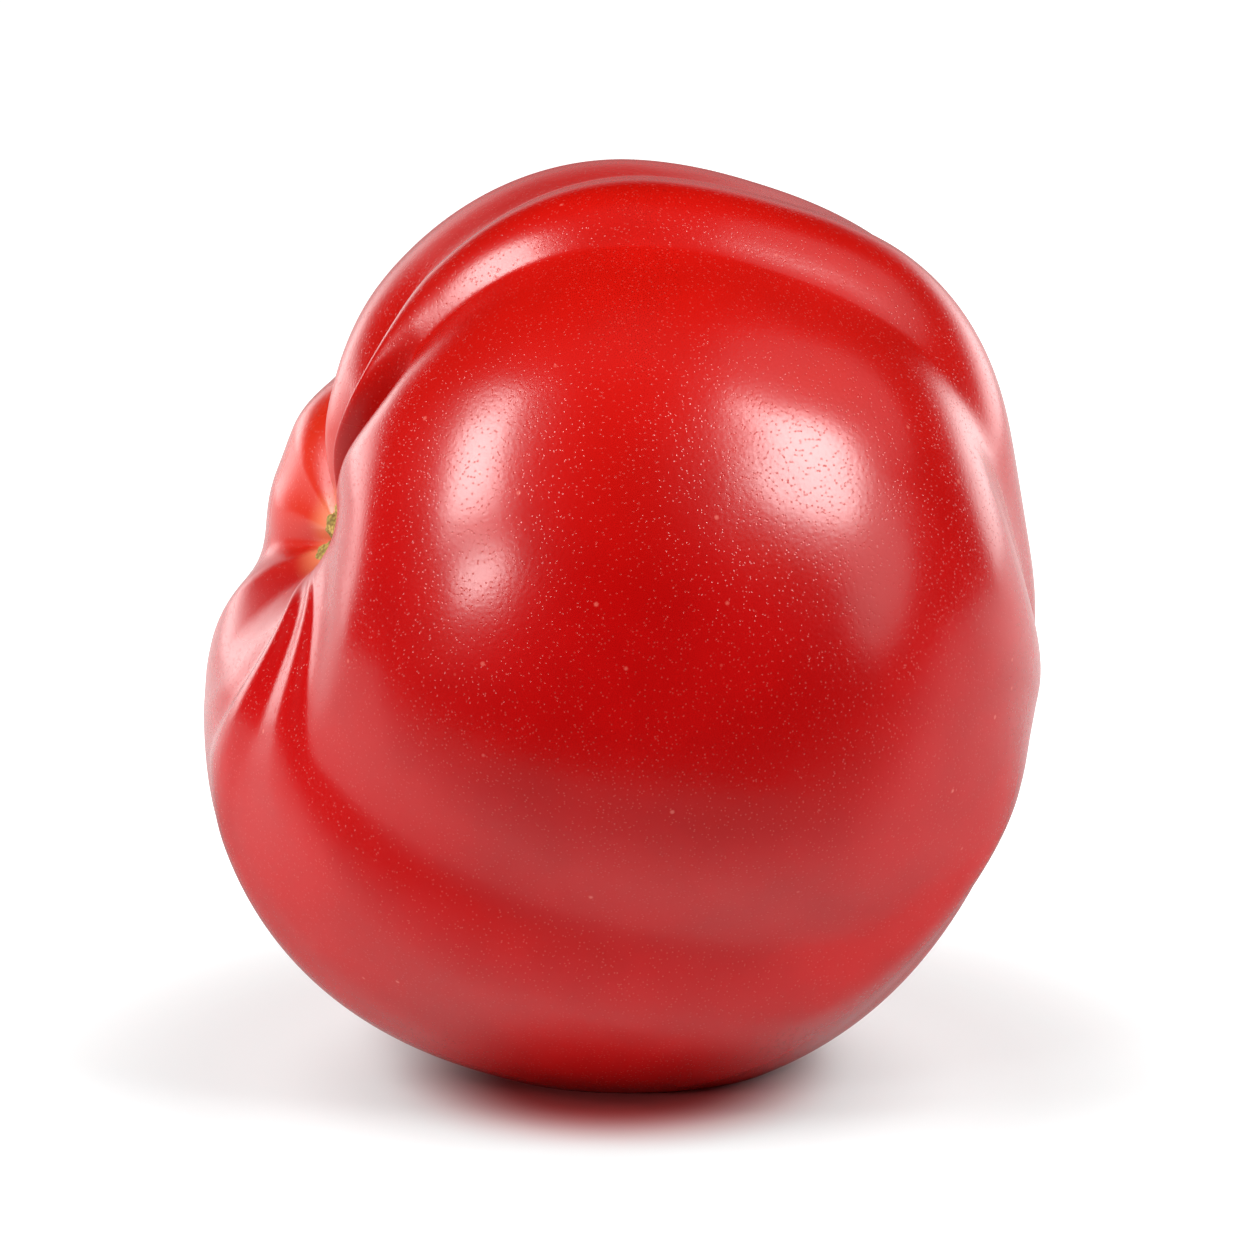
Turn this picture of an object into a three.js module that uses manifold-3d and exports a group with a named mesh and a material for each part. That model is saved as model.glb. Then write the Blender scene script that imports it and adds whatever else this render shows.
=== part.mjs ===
// A ribbed beefsteak tomato, picked without its calyx and lying on its side.
//
// Units are millimetres and +Z is up. The origin is under the middle of the fruit, on the surface that it
// rests on. +X points from the stem end to the blossom end, and -Y is the side of the big front lobe.
//
// The fruit is one grown piece, so it is one closed solid. Its skin is given as a distance from an inner
// centre for each direction. Directions are measured the way the fruit grew: "reach" is the angle from the
// stem scar (0 degrees) to the blossom scar (180 degrees), and "turn" is the angle round that path, with 0
// towards the viewer's side and 90 upwards. The creases between the lobes are lines of nearly constant turn.

import * as THREE from 'three';
import Module from 'manifold-3d';
import { mergeVertices } from 'three/addons/utils/BufferGeometryUtils.js';

const DEG = Math.PI / 180;

// The body without lobes: half lengths towards the stem and the blossom end, and half widths across.
const STEM_HALF = 40.5;
const BLOSSOM_HALF = 40.0;
const SIDE_HALF = 46.0;
const UP_HALF = 46.5;
const SQUARENESS = 2.35;

// The stem end is raised this much above level, because the fruit lies on its fullest lobes.
const STEM_RAISED = 18 * DEG;

// Where the blossom scar sits from the centre: along the axis, upwards across it, and towards the viewer.
// It isn't opposite the stem scar, because the front lobe grew larger than the back.
const BLOSSOM_SCAR = { along: -37, up: 2, near: 6.5 };

// The stem cavity, and the corky scar of the stalk in the bottom of it.
const CAVITY_DEPTH = 9.0;
const CAVITY_REACH = 14;
const SCAR_RADIUS = 3.2;
const SCAR_HEIGHT = 0.35;
const BLOSSOM_DIMPLE = 0.8;
const BLOSSOM_DIMPLE_REACH = 6;

// The lowest skin is pressed flat by the fruit's own weight, this far below the centre.
const REST_DEPTH = 44.2;

// The creases, in order of their turn. turns are each line's turn in degrees at the stem, waist and blossom end.
// The line leaves its stem direction between the two reaches of leave, and turns to the blossom scar from
// arrive on. depths are in millimetres at the shoulder, waist and blossom end, and the shoulder's depth goes
// over to the waist's between the two reaches of rise. round is how rounded the bottom is there, as a share of
// the lobe beside it. room is the half width in millimetres that the lobes beside a crease must have before it
// gets most of its depth.
const CREASES = [
  {
    turns: [58, 66, 52], leave: [14, 57], arrive: 95,
    depths: [9.0, 3.1, 3.2], rise: [25, 40], round: [0.1, 0.18, 0.3], room: 2.5,
  },
  {
    turns: [70, 87, 110], leave: [24, 44], arrive: 80,
    depths: [2.8, 1.8, 1.5], rise: [25, 75], round: [0.15, 0.25, 0.3], room: 2.5,
  },
  {
    turns: [120, 145, 150], leave: [14, 44], arrive: 95,
    depths: [4.0, 2.4, 2.0], rise: [25, 75], round: [0.2, 0.25, 0.3], room: 2.5,
  },
  {
    turns: [205, 198, 210], leave: [14, 44], arrive: 95,
    depths: [4.5, 2.6, 1.8], rise: [25, 75], round: [0.35, 0.3, 0.3], room: 2.5,
  },
  {
    turns: [325, 272, 270], leave: [18, 34], arrive: 95,
    depths: [1.2, 1.4, 1.4], rise: [25, 75], round: [0.3, 0.3, 0.3], room: 4.0,
  },
  {
    turns: [336, 288, 330], leave: [20, 44], arrive: 118,
    depths: [0.6, 0.8, 1.0], rise: [25, 75], round: [0.3, 0.35, 0.3], room: 4.0,
  },
  {
    turns: [348, 324, 345], leave: [20, 44], arrive: 118,
    depths: [1.6, 7.0, 0.3], rise: [25, 75], round: [0.3, 0.3, 0.35], room: 4.0,
  },
];

// A broad lobe falls away to a crease only within this many degrees of turn.
const WIDEST_FALL = 30;

// How far each lobe's crest stands out from the body, in millimetres, at the shoulder, waist and blossom end,
// and the reaches between which it rises from the shoulder's height to the waist's. A lobe lies just before
// the crease of the same number.
const LOBES = [
  { name: 'front', crests: [-3.2, -0.5, -1.6], rise: [12, 44] },
  { name: 'upper', crests: [-3.5, -0.5, -4.2], rise: [25, 75] },
  { name: 'top', crests: [-3.5, -1.2, -3.8], rise: [25, 75] },
  { name: 'back', crests: [-3.0, 0.0, 0.0], rise: [25, 75] },
  { name: 'low back', crests: [0.0, 1.8, 0.0], rise: [25, 75] },
  { name: 'belly', crests: [1.4, 1.1, 0.6], rise: [25, 75] },
  { name: 'low front', crests: [0.3, -0.4, 0.9], rise: [25, 75] },
];

// The hollow in the shoulder beside the stem cavity, where three creases run together under the front lobe.
const HOLLOW = { reach: 22, turn: 341, width: 17, depth: 4.4 };

// Where along the path, in degrees, roundings go from shoulder to waist, everything goes from waist to blossom
// end, the crease lines end their turn to the blossom scar, and the crests fade towards the two scars.
const SHOULDER_TO_WAIST = [25, 75];
const WAIST_TO_BLOSSOM = [105, 155];
const LINES_END = 160;
const CRESTS_START = 24;
const CRESTS_END = 45;

// The skin's facets: rows from scar to scar, and the widest column in degrees of turn.
const ROWS = 62;
const COLUMN_WIDTH = 4.2;
const FEWEST_COLUMNS = 5;
const ROW_CROWDING = 0.4;
const COLUMN_CROWDING = 0.3;

const mix = (from, to, share) => from + (to - from) * share;

// A smooth step from 0 at the first reach to 1 at the second.
function step(value, [start, end]) {
  const t = Math.min(Math.max((value - start) / (end - start), 0), 1);
  return t * t * (3 - 2 * t);
}

// Spreads even steps so that they crowd together at both ends.
function crowd(share, amount) {
  return share - (amount * Math.sin(2 * Math.PI * share)) / (2 * Math.PI);
}

// The fruit's own directions: towards the stem, towards the viewer, and upwards across the stem axis.
const STEMWARD = new THREE.Vector3(-Math.cos(STEM_RAISED), 0, Math.sin(STEM_RAISED));
const NEARWARD = new THREE.Vector3(0, -1, 0);
const UPWARD = new THREE.Vector3(Math.sin(STEM_RAISED), 0, Math.cos(STEM_RAISED));

// The blossom scar's place on a plane that the stem scar is the middle of and its opposite point is far off.
const blossomLength = Math.hypot(BLOSSOM_SCAR.along, BLOSSOM_SCAR.up, BLOSSOM_SCAR.near);
const BLOSSOM_ON_PLANE = [
  BLOSSOM_SCAR.near / (blossomLength + BLOSSOM_SCAR.along),
  BLOSSOM_SCAR.up / (blossomLength + BLOSSOM_SCAR.along),
];

// The direction for a reach and a turn. On the plane, z / (1 + z / blossom) carries the far point, where
// every line of turn would otherwise end, to the blossom scar, so that all lines run from scar to scar.
function direction(reach, turn) {
  const size = Math.tan((reach * DEG) / 2);
  const x = size * Math.cos(turn * DEG);
  const y = size * Math.sin(turn * DEG);
  const [bx, by] = BLOSSOM_ON_PLANE;
  const bb = bx * bx + by * by;
  const qx = 1 + (x * bx + y * by) / bb;
  const qy = (y * bx - x * by) / bb;
  const qq = qx * qx + qy * qy;
  const wx = (x * qx + y * qy) / qq;
  const wy = (y * qx - x * qy) / qq;
  const ww = wx * wx + wy * wy;
  return new THREE.Vector3()
    .addScaledVector(STEMWARD, (1 - ww) / (1 + ww))
    .addScaledVector(NEARWARD, (2 * wx) / (1 + ww))
    .addScaledVector(UPWARD, (2 * wy) / (1 + ww));
}

// Each crease's turn at a reach.
function creaseTurns(reach) {
  return CREASES.map((crease) => {
    const [stem, waist, blossom] = crease.turns;
    const leaving = step(reach, crease.leave);
    const arriving = step(reach, [crease.arrive, LINES_END]);
    return mix(mix(stem, waist, leaving), blossom, arriving);
  });
}

// A value given at the shoulder, waist and blossom end, at a reach between them.
function along(values, reach, rise = SHOULDER_TO_WAIST) {
  const [shoulder, waist, blossom] = values;
  return mix(mix(shoulder, waist, step(reach, rise)), blossom, step(reach, WAIST_TO_BLOSSOM));
}

// Each crease's depth at a reach, held back where a lobe beside it is narrow.
function creaseDepths(turns, reach) {
  const count = CREASES.length;
  const widths = turns.map((turn, number) => turn - (number === 0 ? turns[count - 1] - 360 : turns[number - 1]));
  return CREASES.map((crease, number) => {
    const narrower = Math.min(widths[number], widths[(number + 1) % count]);
    const halfWidth = (narrower / 2) * DEG * SIDE_HALF * Math.sin(reach * DEG);
    return along(crease.depths, reach, crease.rise) * Math.tanh(halfWidth / crease.room);
  });
}

// The lobe at a turn: its number, its two creases, and how far across it the turn lies.
function lobeAt(turns, turn) {
  const last = CREASES.length - 1;
  const start = turns[last] - 360;
  const t = start + ((((turn - start) % 360) + 360) % 360);
  const number = Math.max(turns.findIndex((edge) => t <= edge), 0);
  const left = number === 0 ? start : turns[number - 1];
  const right = turns[number];
  return { number, t, left, right, share: (t - left) / (right - left) };
}

// How far a pillow-like lobe falls away towards the creases beside it.
function creaseDrop(reach, turns, lobe) {
  const before = (lobe.number + CREASES.length - 1) % CREASES.length;
  const depths = creaseDepths(turns, reach);
  const blend = step(lobe.share, [0, 1]);
  const depth = mix(depths[before], depths[lobe.number], blend);
  const round = mix(along(CREASES[before].round, reach), along(CREASES[lobe.number].round, reach), blend);
  const fall = Math.min((lobe.right - lobe.left) / 2, WIDEST_FALL);
  const nearest = Math.min(lobe.t - lobe.left, lobe.right - lobe.t);
  const fromCrease = Math.hypot(Math.min(nearest / fall, 1), round);
  return depth * Math.max(1 - fromCrease, 0) ** 2;
}

// How far the crests stand out, blended from the middle of each lobe to the middle of the next.
function crestHeight(reach, turns, lobe) {
  const count = LOBES.length;
  const middle = (lobe.left + lobe.right) / 2;
  const towards = lobe.t < middle ? -1 : 1;
  const other = (lobe.number + towards + count) % count;
  const otherLeft = other === 0 ? turns[count - 1] - 360 : turns[other - 1];
  let otherMiddle = (otherLeft + turns[other]) / 2;
  if (towards > 0 && otherMiddle < middle) otherMiddle += 360;
  if (towards < 0 && otherMiddle > middle) otherMiddle -= 360;
  const blend = step((lobe.t - middle) / (otherMiddle - middle), [0, 1]);
  const crest = (number) => along(LOBES[number].crests, reach, LOBES[number].rise);
  const height = mix(crest(lobe.number), crest(other), blend);
  return height * step(reach, [0, CRESTS_START]) * step(180 - reach, [0, CRESTS_END]);
}

// The plain body's distance from the centre in one direction.
function bodyRadius(toward) {
  const stemward = toward.dot(STEMWARD);
  const half = stemward > 0 ? STEM_HALF : BLOSSOM_HALF;
  const across = Math.hypot(toward.dot(NEARWARD) / SIDE_HALF, toward.dot(UPWARD) / UP_HALF);
  return (Math.abs(stemward / half) ** SQUARENESS + across ** SQUARENESS) ** (-1 / SQUARENESS);
}

// The stem cavity with its raised corky scar, and the small dimple round the blossom scar.
function endRelief(reach) {
  const cavity = CAVITY_DEPTH * Math.exp(-((reach / CAVITY_REACH) ** 2));
  const scarEdge = SCAR_RADIUS / (STEM_HALF - CAVITY_DEPTH) / DEG;
  const scar = SCAR_HEIGHT * (1 - step(reach, [0.75 * scarEdge, 1.15 * scarEdge]));
  const dimple = BLOSSOM_DIMPLE * Math.exp(-(((180 - reach) / BLOSSOM_DIMPLE_REACH) ** 2));
  return scar - cavity - dimple;
}

// How deep the shoulder's hollow is in one direction.
const HOLLOW_MIDDLE = direction(HOLLOW.reach, HOLLOW.turn);
function hollowDepth(toward) {
  const away = toward.angleTo(HOLLOW_MIDDLE) / DEG;
  return HOLLOW.depth * Math.exp(-((away / HOLLOW.width) ** 2));
}

// A point of the skin, measured from the fruit's centre.
function skinPoint(reach, turn) {
  const toward = direction(reach, turn);
  const turns = creaseTurns(reach);
  const lobe = lobeAt(turns, turn);
  const lobes = crestHeight(reach, turns, lobe) - creaseDrop(reach, turns, lobe);
  const radius = bodyRadius(toward) + lobes + endRelief(reach) - hollowDepth(toward);
  return toward.multiplyScalar(radius);
}

// The columns of facets: every crease has one, and each lobe is shared out evenly between its two.
function columnList() {
  const waist = creaseTurns(90);
  const columns = [];
  LOBES.forEach((lobe, number) => {
    const left = number === 0 ? waist[waist.length - 1] - 360 : waist[number - 1];
    const count = Math.max(Math.round((waist[number] - left) / COLUMN_WIDTH), FEWEST_COLUMNS);
    for (let i = 0; i < count; i += 1) columns.push({ number, share: crowd(i / count, COLUMN_CROWDING) });
  });
  return columns;
}

// A column's turn at a reach. Near the scars the columns spread out evenly, so that none is a sliver.
function columnTurn(column, index, count, reach) {
  const turns = creaseTurns(reach);
  const start = turns[turns.length - 1] - 360;
  const left = column.number === 0 ? start : turns[column.number - 1];
  const onLobe = mix(left, turns[column.number], column.share);
  const even = start + (360 * index) / count;
  const follow = step(reach, [8, 22]) * step(180 - reach, [4, 16]);
  return mix(even, onLobe, mix(0.6, 1, follow));
}

function skinGeometry() {
  const columns = columnList();
  const count = columns.length;
  const points = [skinPoint(0, 0)];
  for (let row = 1; row < ROWS; row += 1) {
    const reach = 180 * crowd(row / ROWS, ROW_CROWDING);
    columns.forEach((column, index) => points.push(skinPoint(reach, columnTurn(column, index, count, reach))));
  }
  points.push(skinPoint(179.999, 0));
  const index = [];
  const at = (row, column) => 1 + (row - 1) * count + (column % count);
  const end = points.length - 1;
  for (let column = 0; column < count; column += 1) {
    index.push(0, at(1, column), at(1, column + 1));
    for (let row = 1; row < ROWS - 1; row += 1) {
      index.push(at(row, column), at(row + 1, column), at(row + 1, column + 1));
      index.push(at(row, column), at(row + 1, column + 1), at(row, column + 1));
    }
    index.push(at(ROWS - 1, column), end, at(ROWS - 1, column + 1));
  }
  const geometry = new THREE.BufferGeometry();
  geometry.setAttribute('position', new THREE.Float32BufferAttribute(points.flatMap((p) => p.toArray()), 3));
  geometry.setIndex(index);
  return geometry;
}

const wasm = await Module();
wasm.setup();

function toSolid(geometry) {
  const bare = geometry.clone();
  bare.deleteAttribute('normal');
  bare.deleteAttribute('uv');
  const merged = mergeVertices(bare, 1e-4);
  const vertProperties = new Float32Array(merged.attributes.position.array);
  const triVerts = new Uint32Array(merged.index.array);
  return new wasm.Manifold(new wasm.Mesh({ numProp: 3, vertProperties, triVerts }));
}

function toGeometry(solid) {
  const mesh = solid.getMesh();
  const geometry = new THREE.BufferGeometry();
  geometry.setAttribute('position', new THREE.Float32BufferAttribute(mesh.vertProperties, 3));
  geometry.setIndex(Array.from(mesh.triVerts));
  return geometry;
}

// The fruit, cut flat where it is pressed against the surface.
function fruitGeometry() {
  const size = 4 * UP_HALF;
  const ground = new THREE.BoxGeometry(size, size, size).translate(0, 0, -REST_DEPTH - size / 2);
  const geometry = toGeometry(toSolid(skinGeometry()).subtract(toSolid(ground)));
  geometry.computeBoundingBox();
  const middle = geometry.boundingBox.getCenter(new THREE.Vector3());
  geometry.translate(-middle.x, -middle.y, REST_DEPTH);
  geometry.computeVertexNormals();
  return geometry;
}

const skin = new THREE.MeshStandardMaterial({ color: 0xc40a0a, roughness: 0.22, metalness: 0 });
const fruit = new THREE.Mesh(fruitGeometry(), skin);
fruit.name = 'fruit';

const tomato = new THREE.Group();
tomato.name = 'tomato';
tomato.add(fruit);

export default tomato;
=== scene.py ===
"""A ribbed beefsteak tomato, lying on its side on a white studio board.

The file follows the fruit from its skin to the dry scar of its stalk, and then comes to the board, the studio
and the camera. Lengths are in metres, and in millimetres where a name ends in _mm. Angles are in degrees.
"""

import math

import bpy
import numpy as np
from mathutils import Matrix, Vector


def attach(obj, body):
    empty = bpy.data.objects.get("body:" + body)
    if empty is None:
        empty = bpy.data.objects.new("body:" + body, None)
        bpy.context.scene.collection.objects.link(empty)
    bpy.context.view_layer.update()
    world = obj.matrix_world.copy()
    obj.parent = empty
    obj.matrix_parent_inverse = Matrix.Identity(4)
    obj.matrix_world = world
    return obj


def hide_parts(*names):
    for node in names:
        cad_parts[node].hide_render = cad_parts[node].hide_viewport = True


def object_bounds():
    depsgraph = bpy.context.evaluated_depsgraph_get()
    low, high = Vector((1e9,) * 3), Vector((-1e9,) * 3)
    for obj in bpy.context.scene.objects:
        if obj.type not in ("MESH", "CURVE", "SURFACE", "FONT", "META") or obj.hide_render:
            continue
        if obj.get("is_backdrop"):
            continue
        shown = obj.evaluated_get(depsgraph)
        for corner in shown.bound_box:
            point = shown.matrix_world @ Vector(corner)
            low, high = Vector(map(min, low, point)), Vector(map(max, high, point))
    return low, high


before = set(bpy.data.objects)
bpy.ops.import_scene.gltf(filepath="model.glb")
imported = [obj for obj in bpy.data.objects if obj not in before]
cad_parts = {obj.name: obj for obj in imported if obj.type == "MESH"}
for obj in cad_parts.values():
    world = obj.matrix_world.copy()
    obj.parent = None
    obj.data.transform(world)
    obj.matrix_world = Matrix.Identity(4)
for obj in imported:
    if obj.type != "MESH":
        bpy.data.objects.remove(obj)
cad_low, cad_high = (np.array(corner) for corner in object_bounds())

# Tomato fruit: one grown piece of wet flesh under a thin tough skin. Its lobes swelled round the seed
# chambers, and the creases between them follow the chamber walls from the stem cavity to the blossom scar.
MM = 0.001
DEG = math.pi / 180

# A place on the skin is named by its reach, the angle from the stem scar, 0, to the blossom scar, 180, and by
# its turn, the angle round that path, with 0 towards the viewer and 90 upwards.
stem_half_mm = 40.5
blossom_half_mm = 40.0
side_half_mm = 46.0
up_half_mm = 46.5
squareness = 2.35
stem_raised = 18
blossom_scar_mm = {"along": -37, "up": 2, "near": 6.5}
cavity_depth_mm = 9.0
cavity_reach = 14
dimple_depth_mm = 0.8
dimple_reach = 6
rest_depth_mm = 44.2

# The reaches between which a value goes from shoulder to waist, and from waist to blossom end. Then the reach
# at which the crease lines end their turn to the blossom scar, and how far from each scar the crests fade in.
shoulder_to_waist = (25, 75)
waist_to_blossom = (105, 155)
lines_meet = 160
crest_fades = {"stem": 24, "blossom": 45}

# Each crease has its turn at the stem, waist and blossom end, the two reaches between which it leaves its
# stem direction, and the reach from which it turns to the blossom scar. Then come its depth at shoulder, waist
# and blossom end, and the reaches between which that goes from shoulder to waist. Its bottom's roundness is a
# share of the lobe beside it. Most of its depth comes only where those lobes are wider than room_mm each side.
creases = [
    dict(
        turns=(58, 66, 52), leave=(14, 57), arrive=95, depths_mm=(9.0, 3.1, 3.2), rise=(25, 40),
        round=(0.10, 0.18, 0.30), room_mm=2.5,
    ),
    dict(
        turns=(70, 87, 110), leave=(24, 44), arrive=80, depths_mm=(2.8, 1.8, 1.5), rise=shoulder_to_waist,
        round=(0.15, 0.25, 0.30), room_mm=2.5,
    ),
    dict(
        turns=(120, 145, 150), leave=(14, 44), arrive=95, depths_mm=(4.0, 2.4, 2.0), rise=shoulder_to_waist,
        round=(0.20, 0.25, 0.30), room_mm=2.5,
    ),
    dict(
        turns=(205, 198, 210), leave=(14, 44), arrive=95, depths_mm=(4.5, 2.6, 1.8), rise=shoulder_to_waist,
        round=(0.35, 0.30, 0.30), room_mm=2.5,
    ),
    dict(
        turns=(325, 272, 270), leave=(18, 34), arrive=95, depths_mm=(1.2, 1.4, 1.4), rise=shoulder_to_waist,
        round=(0.30, 0.30, 0.30), room_mm=4.0,
    ),
    dict(
        turns=(336, 288, 330), leave=(20, 44), arrive=118, depths_mm=(0.6, 0.8, 1.0), rise=shoulder_to_waist,
        round=(0.30, 0.35, 0.30), room_mm=4.0,
    ),
    dict(
        turns=(348, 324, 345), leave=(20, 44), arrive=118, depths_mm=(1.6, 7.0, 0.3), rise=shoulder_to_waist,
        round=(0.30, 0.30, 0.35), room_mm=4.0,
    ),
]

# A broad lobe falls away to a crease only within this many degrees of turn.
widest_fall = 30

# How far each lobe's crest stands out at shoulder, waist and blossom end, and the reaches between which it
# rises from the shoulder to the waist. Each lobe lies just before the crease of the same number. In order,
# they are the front, upper, top, back, low back, belly and low front lobes.
lobes = [
    dict(crests_mm=(-3.2, -0.5, -1.6), rise=(12, 44)),
    dict(crests_mm=(-3.5, -0.5, -4.2), rise=shoulder_to_waist),
    dict(crests_mm=(-3.5, -1.2, -3.8), rise=shoulder_to_waist),
    dict(crests_mm=(-3.0, 0.0, 0.0), rise=shoulder_to_waist),
    dict(crests_mm=(0.0, 1.8, 0.0), rise=shoulder_to_waist),
    dict(crests_mm=(1.4, 1.1, 0.6), rise=shoulder_to_waist),
    dict(crests_mm=(0.3, -0.4, 0.9), rise=shoulder_to_waist),
]

# The hollow in the shoulder where three creases run together under the front lobe.
hollow = {"reach": 22, "turn": 341, "width": 17, "depth_mm": 4.4}


def step(value, start, end):
    """A smooth step from 0 at the start to 1 at the end."""
    t = np.clip((value - start) / (end - start), 0, 1)
    return t * t * (3 - 2 * t)


def mix(first, second, share):
    """The first value at share 0, and the second at share 1."""
    return first + (second - first) * share


# The fruit's own directions: along its axis to the stem, towards the viewer, and up across the axis.
stemward = np.array([-math.cos(stem_raised * DEG), 0, math.sin(stem_raised * DEG)])
nearward = np.array([0, -1.0, 0])
upward = np.array([math.sin(stem_raised * DEG), 0, math.cos(stem_raised * DEG)])

# The blossom scar's place on a flat map of directions whose middle is the stem scar.
blossom_length_mm = math.hypot(*blossom_scar_mm.values())
blossom_on_map = complex(blossom_scar_mm["near"], blossom_scar_mm["up"]) / (
    blossom_length_mm + blossom_scar_mm["along"]
)


def direction(reach, turn):
    """The direction from the fruit's centre. All lines of turn run from scar to scar."""
    straight = np.tan(reach * DEG / 2) * np.exp(1j * turn * DEG)
    bent = straight / (1 + straight / blossom_on_map)
    far = np.abs(bent) ** 2
    return (
        ((1 - far) / (1 + far))[..., None] * stemward
        + (2 * bent.real / (1 + far))[..., None] * nearward
        + (2 * bent.imag / (1 + far))[..., None] * upward
    )


def crease_turns(reach):
    """Every crease's turn at each reach, as one array for each crease."""
    turns = []
    for crease in creases:
        stem, waist, blossom = crease["turns"]
        line = mix(stem, waist, step(reach, *crease["leave"]))
        turns.append(mix(line, blossom, step(reach, crease["arrive"], lines_meet)))
    return np.array(turns)


def along(values, reach, rise=shoulder_to_waist):
    """A value given at shoulder, waist and blossom end, at each reach between them."""
    shoulder, waist, blossom = values
    return mix(mix(shoulder, waist, step(reach, *rise)), blossom, step(reach, *waist_to_blossom))


def crease_depths_mm(turns, reach):
    """Every crease's depth at each reach, held back where a lobe beside it is narrow."""
    widths = np.diff(np.concatenate([turns[-1:] - 360, turns]), axis=0)
    narrower = np.minimum(widths, np.roll(widths, -1, axis=0))
    half_width_mm = narrower / 2 * DEG * side_half_mm * np.sin(reach * DEG)
    depths = np.array([along(crease["depths_mm"], reach, crease["rise"]) for crease in creases])
    rooms = np.array([crease["room_mm"] for crease in creases])
    return depths * np.tanh(half_width_mm / rooms.reshape(-1, *[1] * np.ndim(reach)))


def lobe_height_mm(reach, turn):
    """How far the lobes and creases move the skin out from the plain body."""
    turns = crease_turns(reach)
    depths = crease_depths_mm(turns, reach)
    roundings = [along(crease["round"], reach) for crease in creases]
    crests = [along(lobe["crests_mm"], reach, lobe["rise"]) for lobe in lobes]
    count = len(creases)
    edges = np.concatenate([turns[-1:] - 360, turns])
    middles = (edges[:-1] + edges[1:]) / 2
    fade = step(reach, 0, crest_fades["stem"]) * step(180 - reach, 0, crest_fades["blossom"])
    t = edges[0] + np.mod(turn - edges[0], 360)
    height = np.zeros_like(t)
    for number in range(count):
        following = (number + 1) % count
        left, right, middle = edges[number], edges[number + 1], middles[number]
        blend = step((t - left) / (right - left), 0, 1)
        depth = mix(depths[number - 1], depths[number], blend)
        rounding = mix(roundings[number - 1], roundings[number], blend)
        fall = np.minimum((right - left) / 2, widest_fall)
        from_crease = np.hypot(np.minimum(np.minimum(t - left, right - t) / fall, 1), rounding)
        drop = depth * np.maximum(1 - from_crease, 0) ** 2
        earlier = middles[number - 1] - (360 if number == 0 else 0)
        later = middles[following] + (360 if following == 0 else 0)
        to_earlier = mix(crests[number], crests[number - 1], step((middle - t) / (middle - earlier), 0, 1))
        to_later = mix(crests[number], crests[following], step((t - middle) / (later - middle), 0, 1))
        crest = np.where(t < middle, to_earlier, to_later) * fade
        height = np.where((t >= left) & (t <= right), crest - drop, height)
    return height


def skin_points_mm(reach, turn):
    """Points of the skin, from the fruit's centre."""
    toward = direction(reach, turn)
    stem = toward @ stemward
    half = np.where(stem > 0, stem_half_mm, blossom_half_mm)
    across = np.hypot(toward @ nearward / side_half_mm, toward @ upward / up_half_mm)
    body = (np.abs(stem / half) ** squareness + across**squareness) ** (-1 / squareness)
    cavity = cavity_depth_mm * np.exp(-((reach / cavity_reach) ** 2))
    dimple = dimple_depth_mm * np.exp(-(((180 - reach) / dimple_reach) ** 2))
    hollow_middle = direction(np.array(hollow["reach"]), np.array(hollow["turn"]))
    away = np.arccos(np.clip(toward @ hollow_middle, -1, 1)) / DEG
    hollow_here = hollow["depth_mm"] * np.exp(-((away / hollow["width"]) ** 2))
    radius = body + lobe_height_mm(reach, turn) - cavity - dimple - hollow_here
    return toward * radius[..., None]


def cap_mesh(name, reaches, columns, place, closed):
    """A smooth mesh of rings round a first point, with a last point that closes the far end if asked."""
    turns = np.linspace(0, 360, columns, endpoint=False)
    reach, turn = np.meshgrid(reaches[1:-1], turns, indexing="ij")
    rings = place(reach, turn).reshape(-1, 3)
    ends = place(reaches[[0, -1]], np.zeros(2))
    points = np.vstack([ends[:1], rings, ends[1:]])
    last = len(points) - 1
    last_ring = 1 + (len(reaches) - 3) * columns
    faces = []
    for c in range(columns):
        d = (c + 1) % columns
        faces.append((0, 1 + c, 1 + d))
        for ring in range(1, last_ring, columns):
            faces.append((ring + c, ring + columns + c, ring + columns + d, ring + d))
        if closed:
            faces.append((last_ring + c, last, last_ring + d))
    mesh = bpy.data.meshes.new(name)
    mesh.from_pydata(points.tolist(), [], faces)
    mesh.shade_smooth()
    return mesh


# The skin is drawn a hair smaller than the measured solid, so that it never stands outside it. Its rings lie
# closer together towards the two scars, where the creases are finest.
skin_inset_mm = 0.03
skin_rings = 360
skin_columns = 720
ring_crowding = 0.4
last_reach = 179.999


def fruit_place(reach, turn):
    """Skin points, pressed flat where the fruit rests, before they are moved to the CAD's place."""
    points = skin_points_mm(reach, turn)
    points = points * (1 - skin_inset_mm / np.linalg.norm(points, axis=-1, keepdims=True))
    points[..., 2] = np.maximum(points[..., 2], -rest_depth_mm) + rest_depth_mm
    return points * MM


ring_share = np.arange(skin_rings + 1) / skin_rings
skin_reaches = 180 * (ring_share - ring_crowding * np.sin(2 * math.pi * ring_share) / (2 * math.pi))
skin_reaches[-1] = last_reach
fruit_mesh = cap_mesh("tomato_fruit", skin_reaches, skin_columns, fruit_place, closed=True)
fruit = bpy.data.objects.new("tomato_fruit", fruit_mesh)
bpy.context.scene.collection.objects.link(fruit)
corners = np.array([vertex.co for vertex in fruit_mesh.vertices])
fruit_offset = (cad_low + cad_high) / 2 - (corners.min(0) + corners.max(0)) / 2
fruit_offset[2] = 0
fruit_mesh.transform(Matrix.Translation(fruit_offset.tolist()))


def linear(hex_colour):
    """An sRGB hex colour as Blender's linear red, green, blue and alpha."""
    values = [int(hex_colour[i : i + 2], 16) / 255 for i in (1, 3, 5)]
    return [v / 12.92 if v <= 0.04045 else ((v + 0.055) / 1.055) ** 2.4 for v in values] + [1.0]


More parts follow.
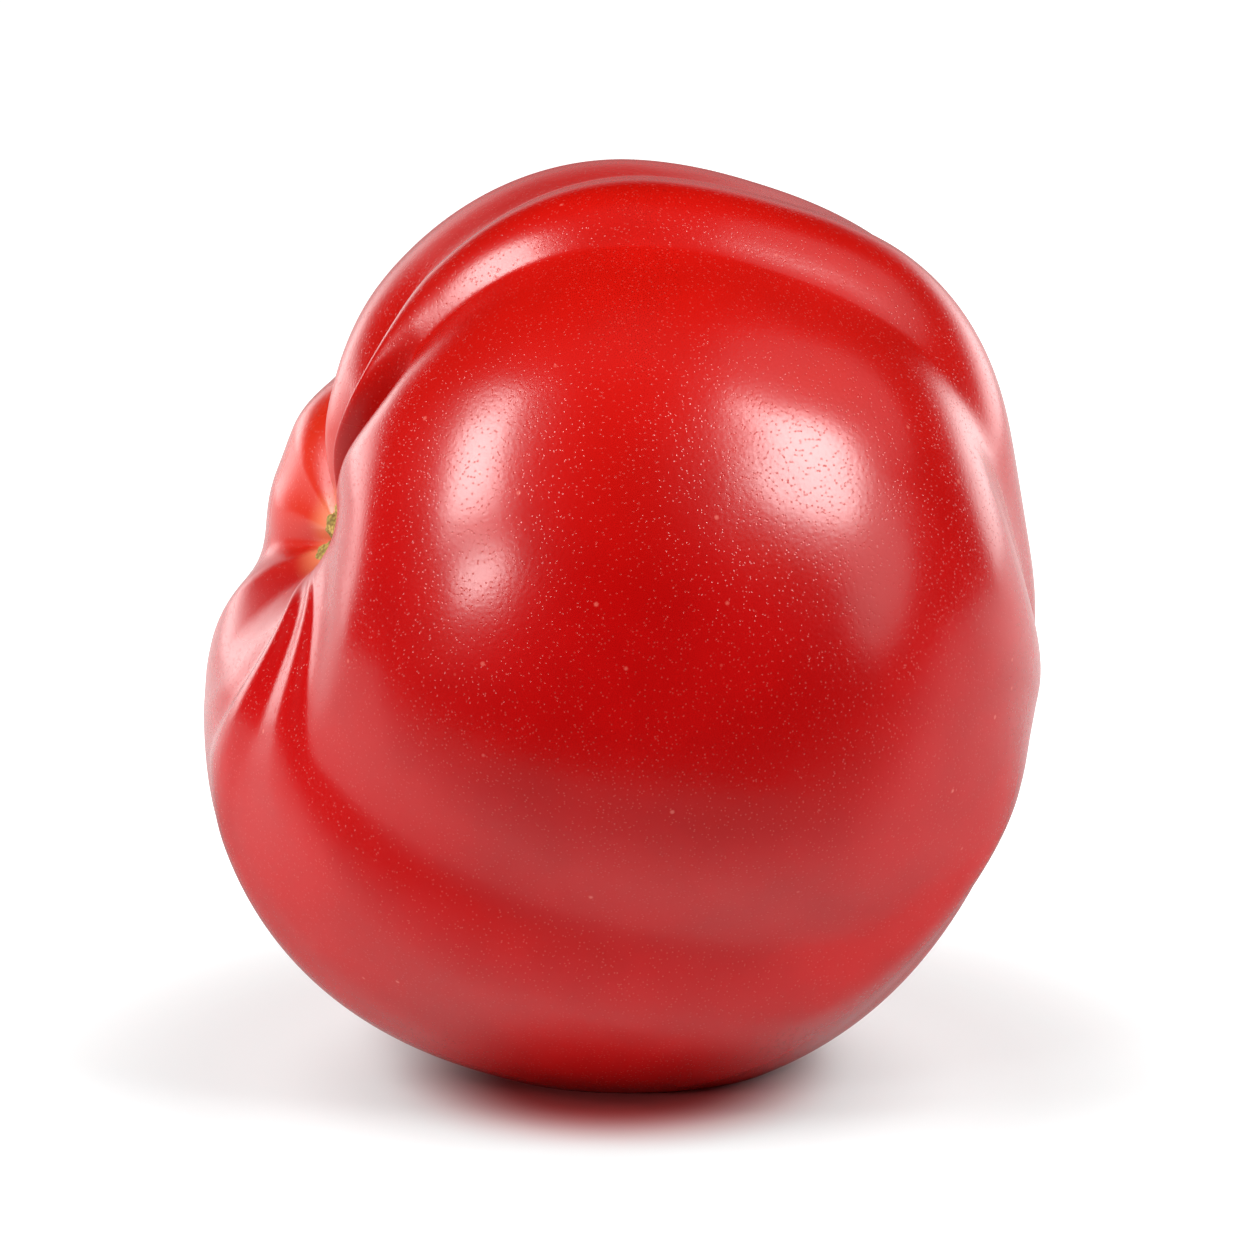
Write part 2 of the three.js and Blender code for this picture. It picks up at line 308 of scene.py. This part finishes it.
def add_node(tree, kind, settings, inputs):
    """Adds a node with its settings. Each input, by name or number, gets a value or a link."""
    node = tree.nodes.new(kind)
    for name, value in settings.items():
        setattr(node, name, value)
    for name, value in inputs.items():
        if isinstance(value, bpy.types.NodeSocket):
            tree.links.new(value, node.inputs[name])
        else:
            node.inputs[name].default_value = value
    return node


# Ripe tomato skin: a thin waxy film over red flesh, grown smooth. It gives soft-edged highlights, a pale rim
# where it turns away, fine dimples like orange peel, and small pale flecks where its pores were.
skin_red = linear("#B00404")
skin_deep_red = linear("#A60202")
# The orange red is the unripe patch's own colour, and it also paints light on the upper side.
unripe_and_painted_light_orange_red = linear("#C4240C")
halo_apricot = linear("#DC8058")
fleck_pink = linear("#F08878")
blossom_scar_brown = linear("#8A5A30")

# The deep red comes in slow clouds. The upper side gets painted light: a warmer, lighter tone for the light
# that falls from above.
mottle_mm = 14.0
mottle_range = (0.35, 0.68)
painted_top_light_mm = (52, 78)
painted_top_light_share = 0.16

# The orange patch beside the stem ripens last, and a pale ring lies round the stem scar.
unripe_reach = 15.0
unripe_turn = 140.0
unripe_radii_mm = (4, 15)
halo_radii_mm = (2.2, 6.2)
halo_share = 0.9
blossom_scar_radii_mm = (0.6, 1.2)

# Real pores lie about 0.25 mm apart and would be lost in the render, so they are drawn coarser. Their radii
# are shares of the spacing. A few large ones are set far apart.
fleck_spacing_mm = 0.42
fleck_radii = (0.10, 0.28)
fleck_share = 0.10
large_fleck_spacing_mm = 5.0
large_fleck_radii = (0.02, 0.06)
large_fleck_share = 0.3

# The relief too fine for the mesh: slow swellings, the dimples of the peel, drawn coarser than the real
# 0.2 mm, and a pit at each pore.
swell_mm = 9.0
swell_height_mm = 0.12
peel_dimple_mm = 0.4
peel_height_mm = 0.008
pore_pit_mm = 0.016

# The wax is duller by the stem, where it isn't rubbed, and a little on top.
waxy_roughness = 0.24
stem_roughness = 0.35
dull_radii_mm = (7, 18)
top_extra_roughness = 0.03
top_mm = (66, 80)
skin_ior = 1.47

stem_scar_place = fruit_place(np.array(0.0), np.array(0.0)) + fruit_offset
blossom_scar_place = fruit_place(np.array(last_reach), np.array(0.0)) + fruit_offset
unripe_place = fruit_place(np.array(unripe_reach), np.array(unripe_turn)) + fruit_offset

skin = bpy.data.materials.new("waxy ripe tomato skin")
skin.use_nodes = True
tree = skin.node_tree
shader = tree.nodes["Principled BSDF"]
place = add_node(tree, "ShaderNodeTexCoord", {}, {}).outputs["Object"]
height = add_node(tree, "ShaderNodeSeparateXYZ", {}, {"Vector": place}).outputs["Z"]
smooth = {"interpolation_type": "SMOOTHSTEP"}
colour_mix = {"data_type": "RGBA"}

mottle = add_node(
    tree, "ShaderNodeTexNoise", {}, {"Vector": place, "Scale": 1 / (mottle_mm * MM), "Detail": 3}
)
deep_red = add_node(
    tree, "ShaderNodeMapRange", smooth,
    {"Value": mottle.outputs["Fac"], "From Min": mottle_range[0], "From Max": mottle_range[1]},
)
# Painted light: a warmer, lighter tone on the upper side, where light falls from above.
painted_top_light = add_node(
    tree, "ShaderNodeMapRange", smooth,
    {"Value": height, "From Min": painted_top_light_mm[0] * MM, "From Max": painted_top_light_mm[1] * MM,
     "To Min": 0.0, "To Max": painted_top_light_share},
)

# Each of these goes from one value to another between two distances from its middle.
spots = {}
for name, middle, radii_mm, inside, outside in (
    ("unripe patch", unripe_place, unripe_radii_mm, 1.0, 0.0),
    ("halo", stem_scar_place, halo_radii_mm, halo_share, 0.0),
    ("blossom scar", blossom_scar_place, blossom_scar_radii_mm, 1.0, 0.0),
    ("dullness", stem_scar_place, dull_radii_mm, stem_roughness, waxy_roughness),
):
    away = add_node(tree, "ShaderNodeVectorMath", {"operation": "DISTANCE"}, {0: place, 1: middle.tolist()})
    spots[name] = add_node(
        tree, "ShaderNodeMapRange", smooth,
        {"Value": away.outputs["Value"], "From Min": radii_mm[0] * MM, "From Max": radii_mm[1] * MM,
         "To Min": inside, "To Max": outside},
    ).outputs["Result"]

flecks = []
for spacing_mm, radii in ((fleck_spacing_mm, fleck_radii), (large_fleck_spacing_mm, large_fleck_radii)):
    pores = add_node(
        tree, "ShaderNodeTexVoronoi", {}, {"Vector": place, "Scale": 1 / (spacing_mm * MM), "Randomness": 1.0}
    )
    fleck = add_node(
        tree, "ShaderNodeMapRange", smooth,
        {"Value": pores.outputs["Distance"], "From Min": radii[0], "From Max": radii[1],
         "To Min": 1.0, "To Max": 0.0},
    )
    flecks.append(fleck.outputs["Result"])
small_fleck = add_node(tree, "ShaderNodeMath", {"operation": "MULTIPLY"}, {0: flecks[0], 1: fleck_share})
large_fleck = add_node(
    tree, "ShaderNodeMath", {"operation": "MULTIPLY"}, {0: flecks[1], 1: large_fleck_share}
)
any_fleck = add_node(
    tree, "ShaderNodeMath", {"operation": "MAXIMUM"}, {0: small_fleck.outputs[0], 1: large_fleck.outputs[0]}
)

colour = skin_red
for share, next_colour in (
    (deep_red.outputs["Result"], skin_deep_red),
    (painted_top_light.outputs["Result"], unripe_and_painted_light_orange_red),
    (spots["unripe patch"], unripe_and_painted_light_orange_red),
    (spots["halo"], halo_apricot),
    (any_fleck.outputs[0], fleck_pink),
    (spots["blossom scar"], blossom_scar_brown),
):
    layer = add_node(tree, "ShaderNodeMix", colour_mix, {"Factor": share, 6: colour, 7: next_colour})
    colour = layer.outputs[2]
tree.links.new(colour, shader.inputs["Base Color"])

swell = add_node(tree, "ShaderNodeTexNoise", {}, {"Vector": place, "Scale": 1 / (swell_mm * MM), "Detail": 1})
peel = add_node(
    tree, "ShaderNodeTexNoise", {}, {"Vector": place, "Scale": 1 / (peel_dimple_mm * MM), "Detail": 0}
)
swell_bump = add_node(
    tree, "ShaderNodeBump", {},
    {"Height": swell.outputs["Fac"], "Strength": 1.0, "Distance": swell_height_mm * MM},
)
peel_bump = add_node(
    tree, "ShaderNodeBump", {},
    {"Height": peel.outputs["Fac"], "Strength": 1.0, "Distance": peel_height_mm * MM,
     "Normal": swell_bump.outputs[0]},
)
pore_bump = add_node(
    tree, "ShaderNodeBump", {"invert": True},
    {"Height": flecks[0], "Strength": 1.0, "Distance": pore_pit_mm * MM, "Normal": peel_bump.outputs[0]},
)
tree.links.new(pore_bump.outputs[0], shader.inputs["Normal"])

dull_top = add_node(
    tree, "ShaderNodeMapRange", smooth,
    {"Value": height, "From Min": top_mm[0] * MM, "From Max": top_mm[1] * MM,
     "To Min": 0.0, "To Max": top_extra_roughness},
)
roughness = add_node(
    tree, "ShaderNodeMath", {"operation": "ADD"}, {0: spots["dullness"], 1: dull_top.outputs["Result"]}
)
tree.links.new(roughness.outputs[0], shader.inputs["Roughness"])
shader.inputs["IOR"].default_value = skin_ior
fruit_mesh.materials.append(skin)

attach(fruit, "root")
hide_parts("fruit")

# Stem scar: the thin plate where the stalk broke off, in the bottom of the stem cavity. It is dead, dried
# cork tissue, and its uneven edge is grown into the skin.
scar_radius_mm = 2.9
scar_rise_mm = 0.35
scar_hollow_mm = 0.25
scar_roughening_mm = 0.07
scar_sunk_edge_mm = 0.12
scar_rings = 41
scar_columns = 96

# Three sets of waves take the edge in and out: how many go round it, their size as a share of the radius, and
# how far ahead they start.
edge_waves = ((3, 0.10, 0.7), (7, 0.06, 0.0), (16, 0.03, 0.0))


def scar_place(share, turn):
    """The plate's points: a low crown over the skin, with the fibres' hollow in its middle."""
    edge_reach = scar_radius_mm / (stem_half_mm - cavity_depth_mm) / DEG
    uneven = 1.0
    for waves, size, ahead in edge_waves:
        uneven = uneven + size * np.cos(waves * turn * DEG + ahead)
    points = skin_points_mm(share * edge_reach * uneven, turn)
    outward = points / np.linalg.norm(points, axis=-1, keepdims=True)
    crown = scar_rise_mm * (1 - step(share, 0.7, 1.0)) - scar_hollow_mm * (1 - step(share, 0.0, 0.35))
    wander = 3 * np.sin(turn * 5 * DEG)
    grains = np.sin(share * 23 + wander) * np.sin(turn * 11 * DEG + share * 9)
    roughening = scar_roughening_mm * grains * step(share, 0.1, 0.4)
    sink = scar_sunk_edge_mm * step(share, 0.9, 1.0)
    points = points + outward * (crown + roughening - sink)[..., None]
    points[..., 2] += rest_depth_mm
    return points * MM + fruit_offset


scar_mesh = cap_mesh("stem_scar", np.linspace(0, 1.0, scar_rings), scar_columns, scar_place, closed=False)
stem_scar = bpy.data.objects.new("stem_scar", scar_mesh)
bpy.context.scene.collection.objects.link(stem_scar)

# Dry cork: dead plant tissue that dried in the air. It looks matt and granular, ochre to green, with brown
# cracks. Its real cells are under 0.1 mm, so the grains are drawn coarser to show in the render.
scar_ochre = linear("#C8A458")
scar_green = linear("#8A8238")
scar_brown = linear("#6E4A22")
cork_grain_mm = 0.35
cork_patch_mm = 3 * cork_grain_mm
cork_patch_range = (0.35, 0.65)
cork_crack_range = (0.35, 0.75)
cork_crack_share = 0.8
cork_grain_height_mm = 0.12
cork_roughness = 0.85

cork = bpy.data.materials.new("dry corky stalk scar")
cork.use_nodes = True
tree = cork.node_tree
shader = tree.nodes["Principled BSDF"]
place = add_node(tree, "ShaderNodeTexCoord", {}, {}).outputs["Object"]
grain = add_node(
    tree, "ShaderNodeTexVoronoi", {}, {"Vector": place, "Scale": 1 / (cork_grain_mm * MM), "Randomness": 1.0}
)
patches = add_node(tree, "ShaderNodeTexNoise", {}, {"Vector": place, "Scale": 1 / (cork_patch_mm * MM)})
green_patch = add_node(
    tree, "ShaderNodeMapRange", {},
    {"Value": patches.outputs["Fac"], "From Min": cork_patch_range[0], "From Max": cork_patch_range[1]},
)
cracks = add_node(
    tree, "ShaderNodeMapRange", {},
    {"Value": grain.outputs["Distance"], "From Min": cork_crack_range[0], "From Max": cork_crack_range[1],
     "To Min": 0.0, "To Max": cork_crack_share},
)
ochre_green = add_node(
    tree, "ShaderNodeMix", colour_mix, {"Factor": green_patch.outputs["Result"], 6: scar_ochre, 7: scar_green}
)
cracked = add_node(
    tree, "ShaderNodeMix", colour_mix,
    {"Factor": cracks.outputs["Result"], 6: ochre_green.outputs[2], 7: scar_brown},
)
tree.links.new(cracked.outputs[2], shader.inputs["Base Color"])
grain_bump = add_node(
    tree, "ShaderNodeBump", {"invert": True},
    {"Height": grain.outputs["Distance"], "Strength": 1.0, "Distance": cork_grain_height_mm * MM},
)
tree.links.new(grain_bump.outputs[0], shader.inputs["Normal"])
shader.inputs["Roughness"].default_value = cork_roughness
scar_mesh.materials.append(cork)

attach(stem_scar, "root")

# The board: a flat sheet of white laminate under the fruit. Its front edge ends a little before the fruit, so
# the lower half of the skin mirrors white near the board and dark studio in front of it.
board_front_mm = 95.0
board_half_width = 0.9
board_depth = 1.6
camera_azimuth = -11.4
camera_elevation = 13.0

toward_camera = np.array([math.sin(camera_azimuth * DEG), -math.cos(camera_azimuth * DEG), 0])
right = np.array([math.cos(camera_azimuth * DEG), math.sin(camera_azimuth * DEG), 0])
front_edge = toward_camera * board_front_mm * MM
back_edge = -toward_camera * board_depth
board_mesh = bpy.data.meshes.new("white_board")
board_corners = [
    front_edge - right * board_half_width,
    front_edge + right * board_half_width,
    back_edge + right * board_half_width,
    back_edge - right * board_half_width,
]
board_mesh.from_pydata([corner.tolist() for corner in board_corners], [], [(0, 1, 2, 3)])
board = bpy.data.objects.new("white_board", board_mesh)
bpy.context.scene.collection.objects.link(board)

# White laminate: a pressed sheet with a satin face, given a painted glow. It looks evenly white, and grey only
# where the fruit stands over it. That grey is a painted shadow, made by less glow near the fruit. Where the
# two nearly touch, a painted red shade stands for the contact shadow and the fruit's red light thrown on it.
board_white = linear("#BCC4C4")
painted_shade_front_grey = linear("#484848")
painted_contact_shade_red = linear("#A04040")
laminate_roughness = 0.7
laminate_specular = 0.2

# Distances from a point in the contact shadow: where the painted red shade fades, and where the two steps of
# glow rise, which paint the soft shadow round the fruit.
contact_front_mm = 12.0
contact_mm = (10, 24)
near_glow_mm = (10, 36)
near_glow = 0.38
far_glow_mm = (40, 86)
far_glow = 0.55

# Distances in front of the fruit: where the face turns a painted dark grey, which the skin mirrors as shade,
# while its glow makes up for it to the camera; and, behind the fruit, where the glow starts to be mirrored in
# the skin. The light that it throws on the fruit is stronger.
front_mm = (30, 75)
front_glow = 0.6
mirrored_mm = (-60, -150)
mirrored_share = 0.6
thrown_share = 1.55

laminate = bpy.data.materials.new("white laminate")
laminate.use_nodes = True
tree = laminate.node_tree
shader = tree.nodes["Principled BSDF"]
place = add_node(tree, "ShaderNodeTexCoord", {}, {}).outputs["Object"]
contact_middle = (toward_camera * contact_front_mm * MM).tolist()
from_contact = add_node(
    tree, "ShaderNodeVectorMath", {"operation": "DISTANCE"}, {0: place, 1: contact_middle}
)
in_front = add_node(
    tree, "ShaderNodeVectorMath", {"operation": "DOT_PRODUCT"}, {0: place, 1: toward_camera.tolist()}
)
# Painted shadow: the red contact shade, and the glow that is weaker near the fruit.
painted_contact_mask, near, far = (
    add_node(
        tree, "ShaderNodeMapRange", smooth,
        {"Value": from_contact.outputs["Value"], "From Min": reach_mm[0] * MM, "From Max": reach_mm[1] * MM,
         "To Min": first, "To Max": last},
    ).outputs["Result"]
    for reach_mm, first, last in (
        (contact_mm, 1.0, 0.0),
        (near_glow_mm, 0.0, near_glow),
        (far_glow_mm, 0.0, far_glow),
    )
)
front = add_node(
    tree, "ShaderNodeMapRange", smooth,
    {"Value": in_front.outputs["Value"], "From Min": front_mm[0] * MM, "From Max": front_mm[1] * MM},
).outputs["Result"]
round_glow = add_node(tree, "ShaderNodeMath", {"operation": "ADD"}, {0: near, 1: far})
whole_glow = add_node(
    tree, "ShaderNodeMath", {"operation": "MULTIPLY_ADD"}, {0: front, 1: front_glow, 2: round_glow.outputs[0]}
)
behind = add_node(
    tree, "ShaderNodeMapRange", {},
    {"Value": in_front.outputs["Value"], "From Min": mirrored_mm[0] * MM, "From Max": mirrored_mm[1] * MM,
     "To Min": 0.0, "To Max": mirrored_share},
)
path = add_node(tree, "ShaderNodeLightPath", {}, {})
mirrored = add_node(
    tree, "ShaderNodeMath", {"operation": "MULTIPLY_ADD"},
    {0: path.outputs["Is Glossy Ray"], 1: behind.outputs["Result"], 2: path.outputs["Is Camera Ray"]},
)
thrown = add_node(
    tree, "ShaderNodeMath", {"operation": "MULTIPLY_ADD"},
    {0: path.outputs["Is Diffuse Ray"], 1: thrown_share, 2: mirrored.outputs[0]},
)
glow = add_node(
    tree, "ShaderNodeMath", {"operation": "MULTIPLY"}, {0: whole_glow.outputs[0], 1: thrown.outputs[0]}
)
tree.links.new(glow.outputs[0], shader.inputs["Emission Strength"])
shader.inputs["Emission Color"].default_value = (1, 1, 1, 1)
# Painted shade: the front turns dark grey so that the skin mirrors darkness there, while its glow shows white
# to the camera.
face = add_node(tree, "ShaderNodeMix", colour_mix, {"Factor": front, 6: board_white, 7: painted_shade_front_grey})
# Painted shadow in red where the fruit nearly touches the board.
shaded = add_node(
    tree, "ShaderNodeMix", colour_mix, {"Factor": painted_contact_mask, 6: face.outputs[2], 7: painted_contact_shade_red}
)
tree.links.new(shaded.outputs[2], shader.inputs["Base Color"])
shader.inputs["Roughness"].default_value = laminate_roughness
shader.inputs["Specular IOR Level"].default_value = laminate_specular
board_mesh.materials.append(laminate)
board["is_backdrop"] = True

# The studio: painted white walls beside and behind the fruit, a pale ceiling, and darkness round the camera.
# The skin mirrors all of them, and the camera itself sees plain white.
wall_level = 3.6
ceiling_level = 0.16
dark_level = 0.03

# Where the walls begin and where the part straight behind the fruit begins, as angles from the camera's
# direction, then how dim that part is, and the elevations where the walls end and the ceiling begins.
walls_begin = (127, 119)
behind_begins = (165, 145)
behind_share = 0.05
walls_end = (5, 17)
ceiling_begins = (68, 86)

world = bpy.data.worlds.new("white studio")
world.use_nodes = True
bpy.context.scene.world = world
tree = world.node_tree
background = tree.nodes["Background"]
background.inputs["Color"].default_value = (1, 1, 1, 1)
view = toward_camera * math.cos(camera_elevation * DEG) + np.array([0, 0, math.sin(camera_elevation * DEG)])
where = add_node(tree, "ShaderNodeTexCoord", {}, {}).outputs["Generated"]
facing = add_node(
    tree, "ShaderNodeVectorMath", {"operation": "DOT_PRODUCT"}, {0: where, 1: view.tolist()}
).outputs["Value"]
height = add_node(tree, "ShaderNodeSeparateXYZ", {}, {"Vector": where}).outputs["Z"]
walls, not_behind, below_wall_top, ceiling = (
    add_node(
        tree, "ShaderNodeMapRange", smooth,
        {"Value": value, "From Min": start, "From Max": end, "To Min": first, "To Max": last},
    ).outputs["Result"]
    for value, (start, end), first, last in (
        (facing, np.cos(np.radians(walls_begin)), wall_level, dark_level),
        (facing, np.cos(np.radians(behind_begins)), behind_share, 1.0),
        (height, np.sin(np.radians(walls_end)), 1.0, 0.0),
        (height, np.sin(np.radians(ceiling_begins)), 0.0, ceiling_level),
    )
)
wall_part = add_node(tree, "ShaderNodeMath", {"operation": "MULTIPLY"}, {0: below_wall_top, 1: not_behind})
lit_walls = add_node(tree, "ShaderNodeMath", {"operation": "MULTIPLY"}, {0: walls, 1: wall_part.outputs[0]})
lit = add_node(tree, "ShaderNodeMath", {"operation": "ADD"}, {0: lit_walls.outputs[0], 1: ceiling})
seen = add_node(tree, "ShaderNodeLightPath", {}, {}).outputs["Is Camera Ray"]
strength = add_node(tree, "ShaderNodeMix", {}, {"Factor": seen, 2: lit.outputs[0], 3: 1.0})
tree.links.new(strength.outputs[0], background.inputs["Strength"])

# The lamps: soft boxes, a metre from the fruit. Each is placed and sized by the angles that the fruit sees.
lamp_distance = 1.0
lamp_aim = Vector((0, 0, 0.045))


def soft_box(name, shape, azimuth, elevation, width, height, roll, radiance):
    """A soft light seen from the fruit at an azimuth and elevation, with a size and a roll in degrees."""
    data = bpy.data.lights.new(name, "AREA")
    data.shape = shape
    data.size = 2 * lamp_distance * math.tan(width * DEG / 2)
    data.size_y = 2 * lamp_distance * math.tan(height * DEG / 2)
    data.energy = radiance * math.pi * data.size * data.size_y
    lamp = bpy.data.objects.new(name, data)
    bpy.context.scene.collection.objects.link(lamp)
    away = Vector((
        math.sin(azimuth * DEG) * math.cos(elevation * DEG),
        -math.cos(azimuth * DEG) * math.cos(elevation * DEG),
        math.sin(elevation * DEG),
    ))
    lamp.location = away * lamp_distance + lamp_aim
    aimed = away.to_track_quat("Z", "Y").to_matrix()
    lamp.rotation_euler = (aimed @ Matrix.Rotation(roll * DEG, 3, "Z")).to_euler()


soft_box(
    "left_soft_box", "RECTANGLE", azimuth=-78, elevation=41, width=18, height=28, roll=35, radiance=20.5
)
soft_box("left_low_strip", "ELLIPSE", azimuth=-57, elevation=20, width=18, height=8, roll=10, radiance=19.5)
soft_box(
    "right_soft_box", "RECTANGLE", azimuth=46, elevation=42, width=15, height=26, roll=-33, radiance=24.0
)
soft_box("right_spill", "ELLIPSE", azimuth=80, elevation=50, width=48, height=36, roll=0, radiance=0.7)
soft_box("right_low_spill", "ELLIPSE", azimuth=52, elevation=17, width=24, height=36, roll=-20, radiance=1.8)

# The camera: a long lens, a little above the fruit, far enough away for the fruit's size in the photograph.
photo_pixels = 1254
mm_per_pixel = 0.1
lens_mm = 135.0
sensor_mm = 36.0
centre_pixel = (629, 617)

fruit_centre = fruit_offset + np.array([0, 0, rest_depth_mm * MM])
up = np.cross(view, right)
focal_pixels = photo_pixels * lens_mm / sensor_mm
distance = mm_per_pixel * MM * focal_pixels
aside, below = (np.array(centre_pixel) - photo_pixels / 2) / focal_pixels
camera_place = fruit_centre + distance * (view - right * aside + up * below)
camera_data = bpy.data.cameras.new("camera")
camera_data.lens = lens_mm
camera_data.sensor_width = sensor_mm
camera = bpy.data.objects.new("camera", camera_data)
bpy.context.scene.collection.objects.link(camera)
axes = Matrix((right.tolist(), up.tolist(), view.tolist())).transposed().to_4x4()
camera.matrix_world = Matrix.Translation(camera_place.tolist()) @ axes
bpy.context.scene.camera = camera
bpy.context.scene.view_settings.view_transform = "Standard"
